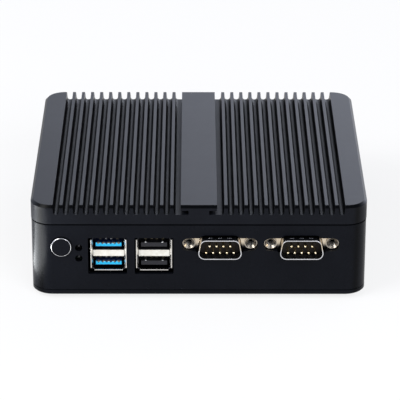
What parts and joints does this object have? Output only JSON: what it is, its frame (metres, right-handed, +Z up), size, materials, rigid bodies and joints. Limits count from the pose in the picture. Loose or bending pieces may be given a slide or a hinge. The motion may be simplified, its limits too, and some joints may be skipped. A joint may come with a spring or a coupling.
{
  "type": "fanless industrial computer",
  "caption": "Compact fanless computer: finned black metal case with power button, indicator lamps, stacked USB sockets, serial ports, and video, network and power sockets behind.",
  "frame": {"origin": "middle of the footprint on the standing surface; the footprint takes in the serial collars that stand out of the front", "axes": "+Z up, front panel facing -Y, +X to the viewer's right when facing the front panel"},
  "size_m": [0.136, 0.131, 0.0413],
  "materials": {
    "anodised_cover": "satin black anodised",
    "anodised_housing": "satin black anodised",
    "button_metal": "black anodised with a bright cut bevel",
    "tin_plate": "bright tin plate",
    "divider_plate": "dull tin plate",
    "steel": "zinc plated",
    "black_screw": "black zinc",
    "gold_contact": "gold plate",
    "blue_plastic": "moulded",
    "dark_plastic": "moulded",
    "grey_plastic": "moulded",
    "ivory_plastic": "moulded",
    "circuit_board": "solder mask on glass fibre laminate",
    "chip": "moulded package",
    "thermal_gel": "soft pad",
    "foot_rubber": "matt",
    "aluminium_can": "drawn",
    "lamp_lens": "tinted lens"
  },
  "bodies": {
    "case": {"top_cover": "anodised_cover", "main_housing": "anodised_housing", "base_plate": "anodised_housing", "foot_front_left": "foot_rubber", "foot_front_right": "foot_rubber", "foot_rear_right": "foot_rubber", "foot_rear_left": "foot_rubber", "case_screws": "black_screw", "main_board": "circuit_board", "board_screws": "steel", "processor": "chip", "thermal_pad": "thermal_gel", "power_chokes": "chip", "capacitors": "aluminium_can", "memory_socket": "ivory_plastic", "memory_module": "circuit_board", "drive_socket": "dark_plastic", "drive_module": "circuit_board", "drive_post": "steel", "drive_screw": "steel", "cell_holder": "dark_plastic", "coin_cell": "steel", "power_switch": "dark_plastic", "power_lamp": "lamp_lens", "drive_lamp": "lamp_lens", "lamp_spacers": "dark_plastic", "panel_board": "circuit_board", "panel_board_screws": "steel", "panel_header": "dark_plastic", "power_inlet": "dark_plastic", "power_inlet_pin": "tin_plate", "video_shell": "tin_plate", "video_insulator": "dark_plastic", "usb3_shell": "tin_plate", "usb3_divider": "divider_plate", "usb3_insulator": "blue_plastic", "usb3_contacts": "gold_contact", "usb2_shell": "tin_plate", "usb2_divider": "divider_plate", "usb2_insulator": "grey_plastic", "usb2_contacts": "gold_contact", "com1_shell": "tin_plate", "com1_insulator": "dark_plastic", "com1_pins": "gold_contact", "com1_inserts": "tin_plate", "com2_shell": "tin_plate", "com2_insulator": "dark_plastic", "com2_pins": "gold_contact", "com2_inserts": "tin_plate", "lan1_shell": "tin_plate", "lan1_insulator": "dark_plastic", "lan1_contacts": "gold_contact", "lan2_shell": "tin_plate", "lan2_insulator": "dark_plastic", "lan2_contacts": "gold_contact"},
    "button": {"power_button": "button_metal", "switch_plunger": "dark_plastic"}
  },
  "joints": [
    {"name": "power_button_press", "type": "slide", "parent": "case", "child": "button", "axis": [0, 1, 0], "range_m": [0, 0.0005], "stiffness_N_per_m": 1000, "springref_m": -0.001}
  ]
}
